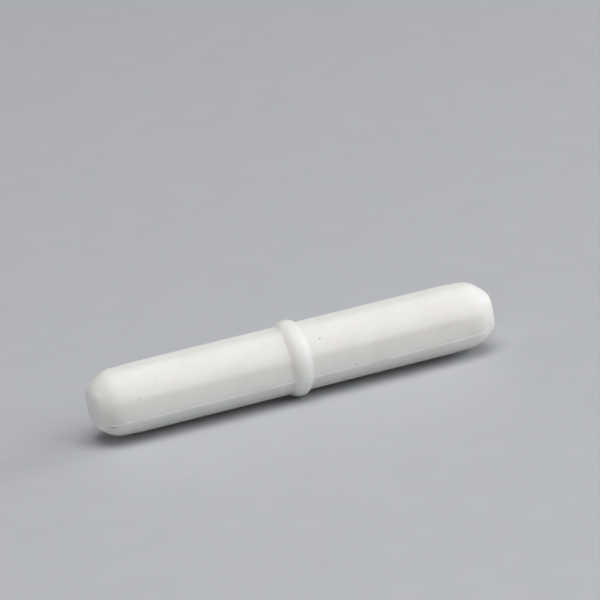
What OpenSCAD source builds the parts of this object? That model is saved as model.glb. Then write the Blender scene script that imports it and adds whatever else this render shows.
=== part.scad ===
// Magnetic stir bar: an octagonal PTFE jacket with a pivot ring, moulded in one
// piece around a cylindrical magnet. Millimetres. The bar lies along X, its middle
// is the origin, +Z is up, and one flat of the octagon faces straight down.

/* [Bar] */
// Overall length, from the flat of one tip to the flat of the other
bar_length = 50; // [36:0.5:90]
// Width of the octagon between two opposite flats
bar_width = 7.8; // [6.4:0.1:12]
// Radius that softens the eight long edges
edge_radius = 1.5; // [0.4:0.1:2.4]

/* [Ends] */
// How far the ball of each domed end stands outside the soft long edges
dome_margin = 0.05; // [0.03:0.01:0.3]
// Diameter of the flat that cuts each dome
tip_flat_diameter = 4; // [3:0.1:4.6]
// Width across the sides of the soft square boss on each tip
tip_boss_width = 3.7; // [2.8:0.05:3.9]
// Width across the blunted corners of the boss, on the tip's flat
tip_boss_diagonal = 4.7; // [4.2:0.1:5]

/* [Pivot ring] */
// How far the ring stands out past the soft long edges
ring_rise = 0.5; // [0.2:0.02:1.4]
// Width of the level band along the ring's crest
ring_land = 0.5; // [0.2:0.05:1]
// Radius of the ring's round shoulders, on both sides of the band
ring_shoulder_radius = 1.25; // [0.7:0.05:2]

/* [Parting line] */
// How far the moulding flash stands out
flash_height = 0.06; // [0.03:0.01:0.2]
// Thickness of the flash
flash_width = 0.12; // [0.06:0.02:0.4]
// How far short of each tip the flash ends
flash_stop = 0.16; // [0.1:0.02:0.6]

/* [Magnet] */
// PTFE between the magnet and each flat of the octagon
jacket_wall = 0.9; // [0.5:0.05:1.8]
// PTFE between the magnet and each tip
end_wall = 3; // [2.4:0.1:6]
// Chamfer on the magnet's two ends
magnet_chamfer = 0.4; // [0.1:0.05:1]
// Moulding gap between the magnet and the jacket, all round
core_clearance = 0.03; // [0.02:0.01:0.15]

/* [Hidden] */
$fn = 96;

SIDES = 8;
half_side_angle = 180 / SIDES;
edge_steps = 8;

flat_radius = bar_width / 2;
soften = min(edge_radius, flat_radius * 0.9);
edge_centre_radius = (flat_radius - soften) / cos(half_side_angle);
corner_reach = edge_centre_radius + soften;

dome_radius = corner_reach + dome_margin;
dome_depth = sqrt(pow(dome_radius, 2) - pow(tip_flat_diameter / 2, 2));
dome_x = bar_length / 2 - dome_depth;

ring_radius = corner_reach + ring_rise;
shoulder_radius = min(ring_shoulder_radius, ring_radius * 0.48);
shoulder_centre_radius = ring_radius - shoulder_radius;

magnet_radius = flat_radius - jacket_wall - core_clearance;
magnet_length = bar_length - 2 * (end_wall + core_clearance);

// The octagon as a closed outline: each corner is an arc of soften, in edge_steps
// chords, between the two flats that it joins.
octagon_outline = [
    for (corner = [0 : SIDES - 1], step = [0 : edge_steps])
        let (middle = half_side_angle * (2 * corner + 1),
             turn = middle + half_side_angle * (2 * step / edge_steps - 1))
        edge_centre_radius * [cos(middle), sin(middle)] + soften * [cos(turn), sin(turn)]
];

// Turns what was made along Z so that it lies along X, centred on the origin.
module lay_along_x() {
    rotate([0, 90, 0]) children();
}

// Puts a copy of what was made for the +Z end on the -Z end too.
module both_ends() {
    for (side = [0, 1]) mirror([0, 0, side]) children();
}

// Octagonal prism with soft long edges; its two ends are the flats of the tips.
module octagon_prism() {
    linear_extrude(height = bar_length, center = true) polygon(octagon_outline);
}

// Soft square boss that carries each tip's flat. Its sides lie along the flats of
// the octagon, and a 45 degree cone blunts its corners.
module tip_boss() {
    overrun = 1;
    translate([0, 0, dome_x]) intersection() {
        translate([-tip_boss_width / 2, -tip_boss_width / 2, 0])
            cube([tip_boss_width, tip_boss_width, dome_depth + overrun]);
        cylinder(h = dome_depth + overrun,
                 r1 = tip_boss_diagonal / 2 + dome_depth,
                 r2 = tip_boss_diagonal / 2 - overrun);
    }
}

// What the prism is trimmed to: a ball and a boss at each end of a drum that is
// wider than the bar, so that only the ends are shaped.
module end_envelope() {
    cylinder(h = 2 * dome_x, r = dome_radius + ring_rise, center = true);
    both_ends() {
        translate([0, 0, dome_x]) sphere(r = dome_radius);
        tip_boss();
    }
}

// Section of the ring's bead, grown by a margin: two round shoulders with the
// level band between them.
module bead_section(margin) {
    reach = shoulder_radius + margin;
    for (side = [-1, 1])
        translate([shoulder_centre_radius, side * ring_land / 2]) circle(r = reach);
    translate([shoulder_centre_radius - reach, -ring_land / 2])
        square([2 * reach, ring_land]);
}

// Bead at mid-length, on which the bar spins. It is round, and its crest has worn
// or moulded to a narrow level band.
module pivot_ring() {
    rotate_extrude() bead_section(0);
}

// The bar's own outline in the parting plane, grown by the flash height.
module flash_outline() {
    intersection() {
        square([2 * (corner_reach + flash_height), bar_length - 2 * flash_stop], center = true);
        union() {
            square([2 * (dome_radius + ring_rise), 2 * dome_x], center = true);
            for (side = [-1, 1])
                translate([0, side * dome_x]) circle(r = dome_radius + flash_height);
        }
    }
    for (side = [0, 1]) mirror([side, 0]) bead_section(flash_height);
}

// Thin web of flash where the two halves of the mould met: it runs along two
// opposite edges of the octagon, over the ring and round both domes.
module parting_flash() {
    rotate([0, 0, 90 + half_side_angle])
        rotate([90, 0, 0])
            linear_extrude(height = flash_width, center = true) flash_outline();
}

// Ground rod with a chamfer at each end, grown by a gap all round.
module magnet_rod(gap) {
    straight = magnet_length - 2 * magnet_chamfer;
    rotate_extrude() polygon([
        [0, -magnet_length / 2 - gap],
        [magnet_radius - magnet_chamfer + gap, -magnet_length / 2 - gap],
        [magnet_radius + gap, -straight / 2],
        [magnet_radius + gap, straight / 2],
        [magnet_radius - magnet_chamfer + gap, magnet_length / 2 + gap],
        [0, magnet_length / 2 + gap]
    ]);
}

module ptfe_jacket() {
    color([0.93, 0.93, 0.91]) lay_along_x() difference() {
        union() {
            intersection() {
                octagon_prism();
                end_envelope();
            }
            pivot_ring();
            parting_flash();
        }
        magnet_rod(core_clearance);
    }
}

module magnet_core() {
    color([0.45, 0.45, 0.47]) lay_along_x() magnet_rod(0);
}

ptfe_jacket();
magnet_core();
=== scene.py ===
# %% [markdown]
# # A magnetic stir bar
# The real object is a rod magnet sealed inside one moulding of white PTFE. The
# moulding is an octagonal bar with domed ends and a round ring at mid-length, on
# which the bar spins. The measured solids come first, as a fixed frame: the looks
# are then built around them, in the same place and at the same size.

# %% Load the measured frame
import math
import bpy
import numpy as np
from mathutils import Matrix, Vector


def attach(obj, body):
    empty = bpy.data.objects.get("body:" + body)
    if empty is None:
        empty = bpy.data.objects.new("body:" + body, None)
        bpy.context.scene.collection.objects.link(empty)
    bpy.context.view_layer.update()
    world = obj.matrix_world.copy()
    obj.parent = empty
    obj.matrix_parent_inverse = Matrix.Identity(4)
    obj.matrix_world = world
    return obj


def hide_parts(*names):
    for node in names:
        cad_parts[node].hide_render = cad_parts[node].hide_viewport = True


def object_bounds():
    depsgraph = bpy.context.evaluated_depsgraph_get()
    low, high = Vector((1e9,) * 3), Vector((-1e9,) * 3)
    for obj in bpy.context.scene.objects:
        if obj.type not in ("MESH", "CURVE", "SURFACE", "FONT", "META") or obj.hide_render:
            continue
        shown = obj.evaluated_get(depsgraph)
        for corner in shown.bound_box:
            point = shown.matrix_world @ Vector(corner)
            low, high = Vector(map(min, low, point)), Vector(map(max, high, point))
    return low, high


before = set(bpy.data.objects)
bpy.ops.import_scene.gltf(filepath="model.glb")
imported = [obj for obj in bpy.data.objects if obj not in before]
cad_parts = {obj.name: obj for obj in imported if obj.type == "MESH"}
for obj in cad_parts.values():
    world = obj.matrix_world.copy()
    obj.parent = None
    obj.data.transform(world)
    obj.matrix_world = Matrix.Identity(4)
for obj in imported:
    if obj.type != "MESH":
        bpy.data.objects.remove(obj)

cad_low, cad_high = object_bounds()
print("measured solids, mm:", [round(1000 * (b - a), 2) for a, b in zip(cad_low, cad_high)])

# %% [markdown]
# Sizes are easiest to think about in millimetres, and Blender works in metres, so
# one constant turns the first into the second. The lengths that the box of the
# solids gives are read from it. The others repeat the values of the part's source,
# except at the ring, which is drawn a little finer: its level band is 0.3 mm and
# not 0.5 mm wide, and its shoulders are 1.2 mm and not 1.25 mm in radius.

# %% Sizes of the bar, in millimetres
MM = 0.001
half_length = cad_high.x / MM
ring_radius = cad_high.z / MM

flat_radius = 3.9
tip_flat_radius = 2.0
ring_land = 0.3
ring_shoulder = 1.2
ring_stands_out = 0.5
dome_over_corners = 0.05
dome_radius = ring_radius - ring_stands_out + dome_over_corners
dome_x = half_length - math.sqrt(dome_radius**2 - tip_flat_radius**2)
print(f"half length {half_length:.2f}, ring radius {ring_radius:.3f}, dome centre at x {dome_x:.3f} mm")

# %% [markdown]
# A moulding has hardly any true corners: where two faces meet, the surface turns
# smoothly. Bevel modifiers could round them one by one. Here the whole surface is
# a formula instead, and a soft minimum of two heights joins them with a small
# round, whose size is one number.

# %% Soft minimum and maximum
def soft_min(a, b, width):
    """The smaller of a and b, rounded where they are closer than width."""
    share = np.clip(0.5 + 0.5 * (b - a) / width, 0, 1)
    return b + (a - b) * share - width * share * (1 - share)


def soft_max(a, b, width):
    """The larger of a and b, rounded where they are closer than width."""
    return -soft_min(-a, -b, width)


print(f"two equal heights of 1, joined over a width of 0.4, meet at {soft_min(1.0, 1.0, 0.4):.2f}")

# %% [markdown]
# Seen end-on the bar is an octagon whose long edges are rounded. The edges inside
# a mould half are soft. The two where the mould halves meet are crisper, because
# the cavity's own rim makes them. Sintered powder shrinks a little unevenly, so
# the flats differ by a few hundredths of a millimetre, and a faint ninth flat
# lies beside the top front edge. In polar form a flat is its distance divided by
# a cosine, and the outline is the soft minimum of all the flats. How wide the soft
# minimum must be for a given edge radius follows from how far the edge turns.

# %% The octagon's outline
parting_angles = np.radians([22.5, 201.5])
# each flat: the direction it faces in degrees, how far it stands out beyond
# flat_radius, and the radius of the edge before it
flats = [(0, 0.0, 1.5), (45, 0.0, 0.7), (90, 0.0, 1.8), (135, 0.0, 2.2), (151, 0.053, 4.5),
         (180, 0.02, 1.4), (225, -0.035, 0.7), (270, 0.0, 1.3), (315, 0.0, 1.5)]
# the first edge lies between the last flat, which faces -45 degrees, and the first
last_facing = -45
# a flat that faces away never counts: the outline starts far outside all of them
beyond_all_flats = 50.0
least_cosine = 0.2


def edge_width(turn, radius):
    """Width in mm of the soft minimum that rounds an edge of this turn to this radius."""
    return 2 * math.sin(turn / 2) * math.tan(turn / 2) * radius


def octagon_radius(angle):
    """Distance in mm from the bar's axis to its surface, in the direction angle."""
    outline, before = np.full(np.shape(angle), beyond_all_flats), last_facing
    for facing, stands_out, edge in flats:
        cosine = np.cos(angle - math.radians(facing))
        flat = (flat_radius + stands_out) / np.maximum(cosine, least_cosine)
        outline = soft_min(outline, flat, edge_width(math.radians(facing - before), edge))
        before = facing
    return outline


for name, at in (("flat", 0.0), ("soft edge", 67.5), ("parting edge", 22.5)):
    print(f"reach at the {name}: {float(octagon_radius(np.radians([at]))[0]):.3f} mm")

# %% [markdown]
# Where the two halves of the mould met, a thread of PTFE crept into the gap. It
# stands up as a ridge along two opposite edges. The lower half, a touch smaller
# than the upper one, leaves a furrow beneath it, and a faint crease runs above.
# The line is never even: it thins out, breaks off and swells again. Seeded random
# numbers, smoothed along the bar, give it that, and give the same line each time
# the script runs. On the left dome the front line curls downwards and ends in a
# lip with a hollow below. Light spreads so far in PTFE that fine relief nearly
# vanishes, so the line is drawn a little bolder than the real thread. One speck
# of powder, stuck to the top of the left dome, belongs here too.

# %% The parting line's ups and downs
rng = np.random.default_rng(8)
ridge_height, ridge_half_width = 0.14, math.radians(1.2)
furrow_depth, furrow_half_width, furrow_offset = 0.12, math.radians(1.4), math.radians(2.6)
crease_depth, crease_offset = 0.04, math.radians(2.6)
# the sense in which the angle has to grow to go down from each line
downwards = (-1, 1)

noise_steps = 120
noise_at = np.linspace(-half_length - 1, half_length + 1, noise_steps)
smoothing = [0.25, 0.5, 0.25]
line_noise = [np.convolve(rng.uniform(-1, 1, noise_steps + 2), smoothing, "valid") for _ in parting_angles]
usual_strength, noise_strength, most_strength = 0.8, 0.5, 1.4
# where the line thins out: middle and reach in mm, and the loss there; a
# negative loss is a swelling
line_breaks = [(10.2, 0.9, 0.9), (16.0, 0.6, 0.8), (-6.5, 1.3, 0.45), (3.1, 0.7, 0.5),
               (-15.0, 1.0, 0.35), (-9.5, 3.0, -0.2), (-23.2, 1.2, -0.5)]

front_line = 1
lip_middle, lip_reach, lip_gain = -23.3, 0.8, 0.8
curl_from, curl_rate = 22.0, math.radians(4.5)
nub_x, nub_turn, nub_height, nub_reach = -21.84, math.radians(71), 0.08, 0.2


def hump(away, reach):
    """A smooth hump: 1 in the middle, and nearly 0 from twice its reach on."""
    return np.exp(-((away / reach) ** 2))


def turned_from(angle, direction):
    """How far angle has turned from direction, between minus half a turn and plus half a turn."""
    return np.mod(angle - direction + math.pi, 2 * math.pi) - math.pi


def line_angle(x, line):
    """Direction of a parting line at x mm. The front one curls downwards over the left dome."""
    curl = curl_rate * np.maximum(-x - curl_from, 0) if line == front_line else 0
    return parting_angles[line] + curl


def line_strength(x, line):
    """How much of the parting line's height is left at x mm along the bar."""
    strength = usual_strength + noise_strength * np.interp(x, noise_at, line_noise[line])
    for middle, reach, loss in line_breaks:
        strength = strength - loss * hump(x - middle, reach)
    return np.clip(strength, 0, most_strength)


def parting_line(x, angle):
    """Height in mm of the ridges, less the depth of their furrows and creases, at x and angle."""
    total = 0
    lip = 1 + lip_gain * hump(x - lip_middle, lip_reach)
    for line in range(len(parting_angles)):
        off = turned_from(angle, line_angle(x, line))
        below = off * downwards[line]
        ridge = ridge_height * hump(off, ridge_half_width)
        furrow_at, furrow_reach = furrow_offset * np.sqrt(lip), furrow_half_width * np.sqrt(lip)
        furrow = furrow_depth * lip * hump(below - furrow_at, furrow_reach)
        crease = crease_depth * hump(below + crease_offset, furrow_half_width)
        total = total + line_strength(x, line) * (ridge - furrow - crease)
    return total


def nub(x, angle):
    """Height in mm of the speck of powder that stuck to the bar, at x and angle."""
    return nub_height * hump(ring_radius * turned_from(angle, nub_turn), nub_reach) * hump(x - nub_x, nub_reach)


for x in (-9.5, 10.2):
    print(f"front ridge at x {x} mm: {ridge_height * float(line_strength(x, front_line)):.2f} mm high")

# %% [markdown]
# The middle of the bar needs one number for each place: how far the surface is
# from the axis. The ring is a bead with round shoulders and a narrow level band
# on its crest. A soft maximum lets it grow out of the octagon with the small
# fillet that a mould has at the foot of a ring.

# %% Bar and ring between the domes
ring_foot_fillet = 0.34
dome_blend = 0.45
# beyond this share of its shoulder the bead falls away, and the octagon takes over
bead_end, bead_end_fall = 0.98, 6
# how fast the dome's reach opens up along the bar, so that it lets go of the flats
dome_opening = 0.15


def bead_radius(x):
    """Distance in mm from the axis to the ring's own surface at x mm."""
    out = np.maximum(np.abs(x) - ring_land / 2, 0)
    round_part = np.sqrt(np.maximum(ring_shoulder**2 - out**2, 0))
    past = np.maximum(out - ring_shoulder * bead_end, 0)
    return ring_radius - ring_shoulder + round_part - bead_end_fall * past


def bar_radius(x, angle):
    """Distance in mm from the axis to the surface between the two domes."""
    reach = dome_radius + dome_opening * (dome_x - np.abs(x)) ** 2
    body = soft_min(octagon_radius(angle), reach, dome_blend)
    return soft_max(body, bead_radius(x), ring_foot_fillet) + parting_line(x, angle)


print(f"the ring's crest is {float(bead_radius(0.0)):.2f} mm from the axis")

# %% [markdown]
# Each end is part of a ball, and a flat cuts it off at the tip. Around that flat
# stands a low square boss with sloping sides and soft edges, where the press
# pushed on the powder. No two are alike: each leans, is turned and is worn round
# by its own amount, which the pairs of values below give for the left end (-1)
# and the right end (1). Every point of the end can be seen from the ball's
# centre, so the end is made of rays from there: the distance along a ray is the
# nearest of the ball, the octagon's flats and the tip's plane, and the boss
# pushes it outwards. The domes are then one skin with the bar, with no seam.

# %% The domed ends
tip_blend = {-1: 0.38, 1: 0.15}
boss_blend = 0.30
boss_slope, boss_height, boss_sink = 0.9, 0.22, 0.32
boss_half_width = {-1: 1.93, 1: 1.92}
boss_lean = {-1: 0.04, 1: 0.12}
boss_lean_way = {-1: math.radians(-42), 1: math.radians(127)}
boss_turn = {-1: math.radians(-3.5), 1: math.radians(-7)}
boss_foot, boss_foot_reach = math.radians(52), math.radians(14)
dome_flattening = {-1: 0.09, 1: 0.02}
dome_flat_tilt, dome_flat_reach, dome_seam_fade = math.radians(60), math.radians(22), math.radians(20)
quarter_turn = math.pi / 2
nearly_zero = 1e-4


def end_distance(tilt, angle, side):
    """Distance in mm from a ball's centre to the end's surface.

    tilt is the angle between the ray and the bar's axis. side is -1 for the left end and 1 for the right.
    """
    sine, cosine = np.maximum(np.sin(tilt), nearly_zero), np.maximum(np.cos(tilt), nearly_zero)
    depth = half_length - dome_x
    fade = np.clip((quarter_turn - tilt) / dome_seam_fade, 0, 1)
    flatter = dome_radius - dome_flattening[side] * fade * hump(tilt - dome_flat_tilt, dome_flat_reach)
    ball = soft_min(octagon_radius(angle) / sine, flatter, dome_blend)
    across = np.cos(np.mod(angle - boss_turn[side] + quarter_turn / 2, quarter_turn) - quarter_turn / 2)
    half_width = boss_half_width[side] * (1 + boss_lean[side] * np.cos(angle - boss_lean_way[side]))
    square = (half_width + boss_slope * depth) / (sine * across + boss_slope * cosine)
    rise = np.clip((boss_foot - tilt) / boss_foot_reach, 0, 1)
    lifted = ball + (boss_height + boss_sink) * rise * rise * (3 - 2 * rise) - boss_sink
    boss = soft_min(square, lifted, boss_blend)
    rim = soft_max(ball, boss, boss_blend)
    return soft_min(rim, depth / cosine, tip_blend[side])


for side, name in ((-1, "left"), (1, "right")):
    print(f"{name} tip: the middle is {float(end_distance(0.0, 0.0, side)):.3f} mm from the ball's centre")

# %% [markdown]
# The surface is a net of rows across the bar and columns along it. The rows are
# close together at the ring and at the tips, where the shape turns quickly, and
# the columns are close together at the parting lines, which are finer than the
# rest. Where the front line curls, the columns curl with it.

# %% Rows and columns of the net
ring_zone = 1.9
ring_rows = np.linspace(-ring_zone, ring_zone, 61)
body_rows = np.linspace(ring_zone, dome_x, 42)[1:]
middle_rows = np.concatenate([-body_rows[::-1], ring_rows, body_rows])
dome_tilts, boss_tilts, flat_tilts = np.linspace(88.6, 45, 32), np.linspace(44.2, 20, 31), np.linspace(18, 2, 7)
tilts = np.radians(np.concatenate([dome_tilts, boss_tilts, flat_tilts]))

whole_turn = 2 * math.pi
even_columns = np.linspace(0, whole_turn, 220, endpoint=False)
beside_line = np.radians(np.linspace(-4.5, 7.5, 45))
line_columns = [at + way * beside_line for at, way in zip(parting_angles, downwards)]
columns = np.concatenate([even_columns] + line_columns)
columns = np.unique(np.round(np.mod(columns, whole_turn), 5))
print(len(middle_rows) + 2 * len(tilts), "rows,", len(columns), "columns")

# %% [markdown]
# Rows and columns become one closed mesh of four-sided faces with a fan of
# triangles on each tip. It stands in for the measured jacket, lies where that lay
# and carries the same material slot.

# %% The jacket's skin
curl_reach = math.radians(25)
line_ends_at, line_fade = 0.5, 0.25


def on_the_bar(x, radius, angle):
    """Points at x mm along the bar, radius mm from its axis, in the direction angle."""
    return np.stack([x, radius * np.cos(angle), radius * np.sin(angle)], axis=-1)


def end_rows(side):
    """Rows from a dome's widest place to its tip, as points in mm. side is 1 or -1."""
    tilt, angle = np.meshgrid(tilts, columns, indexing="ij")
    curl = line_angle(side * (dome_x + dome_radius * np.cos(tilt)), front_line) - parting_angles[front_line]
    angle = angle + curl * hump(angle - parting_angles[front_line], curl_reach)
    distance = end_distance(tilt, angle, side)
    x = side * (dome_x + distance * np.cos(tilt))
    line_share = np.clip((tilt - line_ends_at) / line_fade, 0, 1)
    distance = distance + nub(x, angle) + parting_line(x, angle) * line_share
    x = side * np.minimum(dome_x + distance * np.cos(tilt), half_length)
    return on_the_bar(x, distance * np.sin(tilt), angle)


x, angle = np.meshgrid(middle_rows, columns, indexing="ij")
middle = on_the_bar(x, bar_radius(x, angle), angle)
rows = np.concatenate([end_rows(-1)[::-1], middle, end_rows(1)])
row_count, column_count = rows.shape[:2]

points = np.concatenate([rows.reshape(-1, 3), [[-half_length, 0, 0], [half_length, 0, 0]]]) * MM
number = np.arange(row_count * column_count).reshape(row_count, column_count)
beside = np.roll(number, -1, axis=1)
quads = np.stack([number[:-1], beside[:-1], beside[1:], number[1:]], axis=-1).reshape(-1, 4)
left_tip, right_tip = len(points) - 2, len(points) - 1
fans = [(left_tip, int(b), int(a)) for a, b in zip(number[0], beside[0])]
fans += [(right_tip, int(a), int(b)) for a, b in zip(number[-1], beside[-1])]

skin = bpy.data.meshes.new("ptfe_jacket_skin")
skin.from_pydata(points.tolist(), [], [tuple(q) for q in quads.tolist()] + fans)
skin.validate()
skin.shade_smooth()
jacket = bpy.data.objects.new("ptfe_jacket_skin", skin)
bpy.context.scene.collection.objects.link(jacket)
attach(jacket, "root")
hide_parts("ptfe_jacket")
print("jacket:", len(skin.vertices), "vertices,", 2 * len(quads) + len(fans), "triangles")

# %% [markdown]
# Colours are written as the hex values of a colour picker, which are sRGB.
# Shaders count in linear light, so one function turns the first into the second.
# A second one adds a node, with its settings and its links. The rest are for what
# several materials need: a noise with blobs of a given size in millimetres, a
# value moved from one range to another, and a colour between two tones.

# %% Helpers for materials
def linear(hex_colour):
    """An sRGB hex colour as a linear RGBA tuple."""
    parts = [int(hex_colour[i : i + 2], 16) / 255 for i in (1, 3, 5)]
    return tuple(c / 12.92 if c <= 0.04045 else ((c + 0.055) / 1.055) ** 2.4 for c in parts) + (1.0,)


def add(tree, kind, sockets=None, **settings):
    """Adds a node. sockets gives each input a value, or the output that it is linked from."""
    made = tree.nodes.new(kind)
    for name, value in settings.items():
        setattr(made, name, value)
    for socket, value in (sockets or {}).items():
        if isinstance(value, bpy.types.NodeSocket):
            tree.links.new(value, made.inputs[socket])
        else:
            made.inputs[socket].default_value = value
    return made


def noise(tree, vector, size, detail, roughness=0.5):
    """A noise whose blobs are about size mm across, as a value from 0 to 1."""
    sockets = {"Vector": vector, "Scale": 1 / (size * MM), "Detail": detail, "Roughness": roughness}
    return add(tree, "ShaderNodeTexNoise", sockets).outputs["Fac"]


def moved_to(tree, value, low, high, first, last, kind="LINEAR"):
    """Turns value from low to high into first to last, and stays level outside."""
    sockets = {"Value": value, "From Min": low, "From Max": high, "To Min": first, "To Max": last}
    return add(tree, "ShaderNodeMapRange", sockets, interpolation_type=kind).outputs["Result"]


def two_tones(tree, value, low, low_colour, high, high_colour):
    """A colour that goes from the first hex colour at value low to the second at value high."""
    ramp = add(tree, "ShaderNodeValToRGB", {"Fac": value})
    for stop, at, colour in zip(ramp.color_ramp.elements, (low, high), (low_colour, high_colour)):
        stop.position, stop.color = at, linear(colour)
    return ramp.outputs["Color"]


def empty_material(name):
    """A new material with an output and a Principled shader, and nothing else."""
    material = bpy.data.materials.new(name)
    material.use_nodes = True
    tree = material.node_tree
    tree.nodes.clear()
    shader = add(tree, "ShaderNodeBsdfPrincipled")
    add(tree, "ShaderNodeOutputMaterial", {"Surface": shader.outputs["BSDF"]})
    return material, tree, shader


print("mid grey, #808080, is", round(linear("#808080")[0], 3), "in linear light")

# %% [markdown]
# PTFE is pressed as a powder round the magnet and sintered. It comes out white,
# waxy and translucent, with a satin gloss: light enters it, spreads (here by up to
# three millimetres, red the farthest) and comes out again, which softens every
# edge and warms the shade beside it. Its refractive index, 1.35, is among the
# lowest of all plastics, so its highlights are weak, and its satin skin makes them
# wide. The powder leaves a faint cloudiness a few millimetres wide and a fine
# grain, and use adds faint scuffs along the bar. The real grain, less than a tenth
# of a millimetre, is too fine to see, so it is drawn coarser, at 0.22 mm. Grey
# pits a few tenths of a millimetre wide are dust in the powder. A soft grey smear
# in the hollow under the lip is painted shade: the colour is darkened where the
# lip's shadow falls.

# %% Moulded and sintered PTFE
ptfe, tree, shader = empty_material("moulded_sintered_ptfe")
shader.inputs["IOR"].default_value = 1.35
shader.inputs["Subsurface Weight"].default_value = 1.0
shader.inputs["Subsurface Radius"].default_value = (1.0, 0.86, 0.74)
light_spread = 3.0
shader.inputs["Subsurface Scale"].default_value = light_spread * MM

place = add(tree, "ShaderNodeTexCoord").outputs["Object"]
cloud_size, grain_size, scuff_size = 3.0, 0.22, 0.35
relief_height = 0.02
# squeezed along x, a noise turns into long streaks
scuff_squeeze = (0.06, 1.0, 1.0)
clouds = noise(tree, place, cloud_size, 3.0, 0.55)
grain = noise(tree, place, grain_size, 2.0)
along = add(tree, "ShaderNodeMapping", {"Vector": place, "Scale": scuff_squeeze})
scuffs = noise(tree, along.outputs["Vector"], scuff_size, 2.0, 0.6)

tint = two_tones(tree, clouds, 0.30, "#F0EFEB", 0.70, "#F6F5F1")
tree.links.new(moved_to(tree, scuffs, 0.3, 0.7, 0.40, 0.52), shader.inputs["Roughness"])

relief = add(tree, "ShaderNodeMath", {0: grain, 1: scuffs}, operation="ADD").outputs["Value"]
bump = add(tree, "ShaderNodeBump", {"Height": relief, "Strength": 0.12, "Distance": relief_height * MM})

# each pit: its centre and its reach in mm, and how grey it is, from 0 to 1
pits = [
    ((2.85, -2.93, 2.62), 0.12, 0.6),
    ((-20.0, -3.86, 1.10), 0.13, 0.25),
    ((-17.5, -2.73, 2.79), 0.10, 0.18),
    ((-9.5, -3.9, -0.2), 0.14, 0.15),
    ((6.6, -3.9, -1.25), 0.13, 0.35),
    ((10.9, -3.55, -2.05), 0.12, 0.25),
]
# a pit is level out to the first of these shares of its reach and ends at the second
pit_floor, pit_rim, pit_relief = 0.5, 1.3, 0.03
pitted = None
for centre, reach, greyness in pits:
    sockets = {0: place, 1: tuple(c * MM for c in centre)}
    away = add(tree, "ShaderNodeVectorMath", sockets, operation="DISTANCE").outputs["Value"]
    pit = moved_to(tree, away, pit_floor * reach * MM, pit_rim * reach * MM, greyness, 0.0, "SMOOTHSTEP")
    if pitted is None:
        pitted = pit
    else:
        pitted = add(tree, "ShaderNodeMath", {0: pitted, 1: pit}, operation="MAXIMUM").outputs["Value"]
sockets = {"Height": pitted, "Strength": 1.0, "Distance": pit_relief * MM, "Normal": bump.outputs["Normal"]}
hollow = add(tree, "ShaderNodeBump", sockets, invert=True)
tree.links.new(hollow.outputs["Normal"], shader.inputs["Normal"])

# the painted shade under the lip is an egg shape: a mapping of this kind makes its surface the unit ball
lip_shade_centre, lip_shade_reach = (-23.4, -2.9, -1.89), (0.95, 0.24, 0.24)
lip_shade_turn, lip_shade_greyness = math.radians(-35), 0.42
sockets = {
    "Vector": place,
    "Location": tuple(c * MM for c in lip_shade_centre),
    "Rotation": (0, 0, lip_shade_turn),
    "Scale": tuple(r * MM for r in lip_shade_reach),
}
egg = add(tree, "ShaderNodeMapping", sockets, vector_type="TEXTURE").outputs["Vector"]
away = add(tree, "ShaderNodeVectorMath", {0: egg}, operation="LENGTH").outputs["Value"]
painted_lip_shade = moved_to(tree, away, 0.2, 1.2, lip_shade_greyness, 0.0, "SMOOTHSTEP")
# the pits are grey dust; the smear under the lip is painted shade, mixed in with the same grey
pit_and_shade_greyness = add(tree, "ShaderNodeMath", {0: pitted, 1: painted_lip_shade}, operation="MAXIMUM").outputs["Value"]
dust_and_painted_shade = add(tree, "ShaderNodeMix", {"Factor": pit_and_shade_greyness, "A": tint, "B": linear("#8F8C88")}, data_type="RGBA")
tree.links.new(dust_and_painted_shade.outputs["Result"], shader.inputs["Base Color"])

skin.materials.append(ptfe)
print("PTFE: clouds", cloud_size, "mm, grain", grain_size, "mm, scuffs", scuff_size, "mm,", len(pits), "pits")

# %% [markdown]
# The magnet can't be seen, but a reader who takes the jacket off finds it. It is
# cast aluminium-nickel-cobalt, a dull grey metal, ground round on a wheel, which
# leaves fine rings about 0.1 mm apart. A noise that is stretched across the rod
# draws them. A second one, of 0.8 mm, gives the darker pores of the casting.

# %% Cast and ground alnico
alnico, tree, shader = empty_material("cast_ground_alnico")
shader.inputs["Metallic"].default_value = 1.0
place = add(tree, "ShaderNodeTexCoord").outputs["Object"]
ring_spacing, pore_size, wheel_relief = 0.1, 0.8, 0.02
wheel_stretch = (1.0, 0.05, 0.05)
across = add(tree, "ShaderNodeMapping", {"Vector": place, "Scale": wheel_stretch})
rings = noise(tree, across.outputs["Vector"], ring_spacing, 3.0)
pores = noise(tree, place, pore_size, 4.0)
tree.links.new(two_tones(tree, pores, 0.35, "#77777A", 0.60, "#A6A5A3"), shader.inputs["Base Color"])
tree.links.new(moved_to(tree, rings, 0.0, 1.0, 0.28, 0.50), shader.inputs["Roughness"])
bump = add(tree, "ShaderNodeBump", {"Height": rings, "Strength": 0.3, "Distance": wheel_relief * MM})
tree.links.new(bump.outputs["Normal"], shader.inputs["Normal"])
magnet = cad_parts["magnet_core"]
magnet.data.materials.clear()
magnet.data.materials.append(alnico)
print("magnet:", len(magnet.data.vertices), "vertices, now cast and ground alnico")

# %% [markdown]
# The bar lies on a plain pale table, exactly where the ring touches it. One plane
# does, and it is eight metres wide so that a low camera doesn't see its edge. Its
# surface is matte laminate with a faint unevenness, so it doesn't look like paper.

# %% Table top
table_half = 4.0
unevenness_size = 6
table = bpy.data.meshes.new("floor")
corners = [(x * table_half, y * table_half, 0) for x, y in ((-1, -1), (1, -1), (1, 1), (-1, 1))]
table.from_pydata(corners, [], [(0, 1, 2, 3)])
floor = bpy.data.objects.new("floor", table)
floor.location.z = cad_low.z
bpy.context.scene.collection.objects.link(floor)

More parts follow.
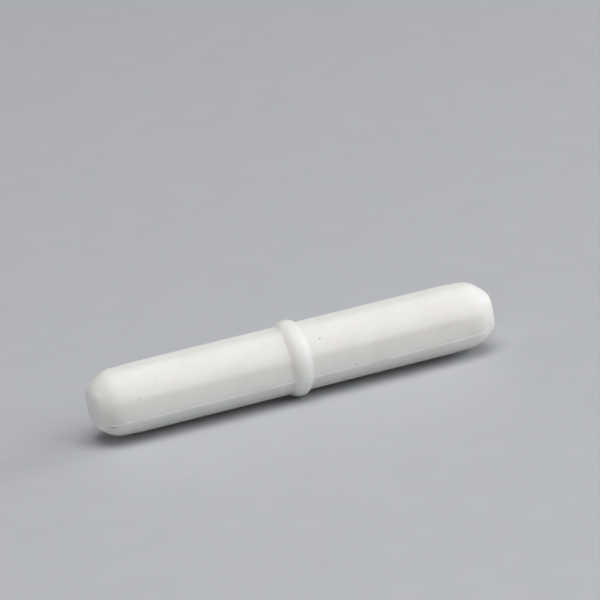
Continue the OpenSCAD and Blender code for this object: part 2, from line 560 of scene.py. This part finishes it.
laminate, tree, shader = empty_material("matte_laminate")
shader.inputs["Roughness"].default_value = 0.55
place = add(tree, "ShaderNodeTexCoord").outputs["Object"]
unevenness = noise(tree, place, unevenness_size, 3.0)
tree.links.new(two_tones(tree, unevenness, 0.2, "#C4C6CA", 0.8, "#C8CACE"), shader.inputs["Base Color"])
table.materials.append(laminate)
print("table at z", round(floor.location.z / MM, 3), "mm")

# %% [markdown]
# The light is that of a small studio. The largest soft box hangs above the bar and
# a little in front: it gives the tops their even white and leaves the underside
# dark. A second one, in front at the right, lifts the flats that face forward. A
# small low one shines on the right end, and a weak one on the left end and the
# ring's left flank. A dim pale world fills what is left. A soft box is an area
# light: the larger it is, the softer its shadows.

# %% Studio light
def soft_box(name, place, size, power, aim=(0, 0, 0)):
    """A square area light at place, size across, turned towards aim. Lengths in metres, power in watts."""
    lamp = bpy.data.lights.new(name, "AREA")
    lamp.shape, lamp.size, lamp.energy = "SQUARE", size, power
    holder = bpy.data.objects.new(name, lamp)
    holder.location = place
    holder.rotation_euler = (Vector(place) - Vector(aim)).to_track_quat("Z", "Y").to_euler()
    bpy.context.scene.collection.objects.link(holder)
    return holder


soft_box("key_soft_box", (0.0, -0.27, 1.17), 0.9, 9.6)
soft_box("side_soft_box", (0.70, -0.70, 0.69), 0.8, 4.8)
soft_box("end_soft_box", (1.12, 0.0, 0.42), 0.5, 3.5)
soft_box("fill_soft_box", (-0.95, 0.55, 0.55), 0.8, 2.0)

world_strength = 0.03
world = bpy.data.worlds.new("pale_studio")
world.use_nodes = True
background = world.node_tree.nodes["Background"]
background.inputs["Color"].default_value = linear("#E6EAF0")
background.inputs["Strength"].default_value = world_strength
bpy.context.scene.world = world
# white PTFE has to stay white: this view shows tones as they are
bpy.context.scene.view_settings.view_transform = "Standard"

# %% [markdown]
# A long lens from half a metre away shows the bar nearly without perspective. The
# camera stands to the left of the bar and a little above it, and is rolled, so
# that the bar climbs towards the right. It aims past the ring, not at it, which
# puts the bar low in the frame without any lens shift.

# %% Camera
yaw, elevation, roll = (math.radians(a) for a in (16.67, 19.71, 8.24))
camera_distance, lens_in_frames = 0.4848, 6.8535
ring_off_centre = Vector((-0.01358, -0.09686))

back = Vector((-math.sin(yaw) * math.cos(elevation), -math.cos(yaw) * math.cos(elevation), math.sin(elevation)))
level = Vector((0, 0, 1)).cross(back).normalized()
upright = back.cross(level)
right = level * math.cos(roll) - upright * math.sin(roll)
up = level * math.sin(roll) + upright * math.cos(roll)
aim = (-back - (right * ring_off_centre.x + up * ring_off_centre.y) / lens_in_frames).normalized()
right = (right - aim * right.dot(aim)).normalized()
up = right.cross(aim)

sensor_width = 36.0
lens = bpy.data.cameras.new("long_lens")
lens.sensor_width, lens.lens = sensor_width, sensor_width * lens_in_frames
lens.clip_start, lens.clip_end = 0.05, 10.0
camera = bpy.data.objects.new("camera", lens)
camera.matrix_world = Matrix((
    (right.x, up.x, -aim.x, back.x * camera_distance),
    (right.y, up.y, -aim.y, back.y * camera_distance),
    (right.z, up.z, -aim.z, back.z * camera_distance),
    (0, 0, 0, 1),
))
bpy.context.scene.collection.objects.link(camera)
bpy.context.scene.camera = camera
print("camera:", round(lens.lens, 1), "mm lens,", round(camera_distance, 3), "m from the ring")
